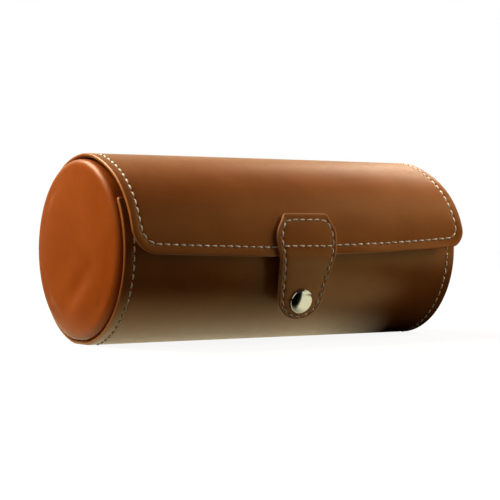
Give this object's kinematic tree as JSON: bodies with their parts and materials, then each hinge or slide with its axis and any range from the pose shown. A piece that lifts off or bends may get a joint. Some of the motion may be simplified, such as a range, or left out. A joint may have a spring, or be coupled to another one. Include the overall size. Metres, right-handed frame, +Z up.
{
  "type": "watch travel case",
  "caption": "Round leather travel case for watches, with a hinged lid, padded ends, a stitched closing strap with a snap, and watch pillows between dividers.",
  "frame": {"origin": "middle of the flat under the tube that the case rests on", "axes": "+X along the tube towards the right end, -Y towards the strap at the front, +Z up"},
  "size_m": [0.208, 0.1034, 0.0951],
  "materials": {
    "saddle_leather": "satin",
    "pad_leather": "satin",
    "grey_board": "matte",
    "suede_lining": "matte",
    "foam": "matte",
    "cream_thread": "matte",
    "nickel": "polished"
  },
  "bodies": {
    "case": {"shell_leather": "saddle_leather", "shell_board": "grey_board", "shell_lining": "suede_lining", "shell_stitching": "cream_thread", "end_cap_left_leather": "pad_leather", "end_cap_left_foam": "foam", "end_cap_left_board": "grey_board", "end_cap_left_lining": "suede_lining", "end_cap_right_leather": "pad_leather", "end_cap_right_foam": "foam", "end_cap_right_board": "grey_board", "end_cap_right_lining": "suede_lining", "divider_left": "suede_lining", "divider_left_board": "grey_board", "divider_right": "suede_lining", "divider_right_board": "grey_board", "snap_stud": "nickel", "snap_post": "nickel", "hinge_leather": "saddle_leather", "hinge_lining": "suede_lining"},
    "lid": {"lid_leather": "saddle_leather", "lid_board": "grey_board", "lid_lining": "suede_lining", "lid_stitching": "cream_thread", "strap_anchor": "saddle_leather", "strap_anchor_backing": "saddle_leather", "strap_anchor_stitching": "cream_thread"},
    "strap": {"strap_tongue": "saddle_leather", "strap_tongue_backing": "saddle_leather", "strap_tongue_stitching": "cream_thread", "snap_cap": "nickel", "snap_socket": "nickel", "snap_spring": "nickel"},
    "pillow_left": {"pillow_left_cover": "suede_lining", "pillow_left_core": "foam", "pillow_left_ends": "suede_lining"},
    "pillow_centre": {"pillow_centre_cover": "suede_lining", "pillow_centre_core": "foam", "pillow_centre_ends": "suede_lining"},
    "pillow_right": {"pillow_right_cover": "suede_lining", "pillow_right_core": "foam", "pillow_right_ends": "suede_lining"}
  },
  "joints": [
    {"name": "lid_hinge", "type": "hinge", "parent": "case", "child": "lid", "pos_m": [0, 0.03639, 0.07753], "axis": [-1, 0, 0], "range_deg": [0, 150], "deforming": ["hinge_leather", "hinge_lining"]},
    {"name": "strap_flex", "type": "hinge", "parent": "lid", "child": "strap", "pos_m": [-0.001, -0.0559, 0.0436], "axis": [-1, 0, 0], "range_deg": [0, 85], "stiffness_Nm_per_rad": 0.01},
    {"name": "pillow_left_lift", "type": "slide", "parent": "case", "child": "pillow_left", "axis": [0, 0, 1], "range_m": [0, 0.034]},
    {"name": "pillow_centre_lift", "type": "slide", "parent": "case", "child": "pillow_centre", "axis": [0, 0, 1], "range_m": [0, 0.034]},
    {"name": "pillow_right_lift", "type": "slide", "parent": "case", "child": "pillow_right", "axis": [0, 0, 1], "range_m": [0, 0.034]}
  ]
}
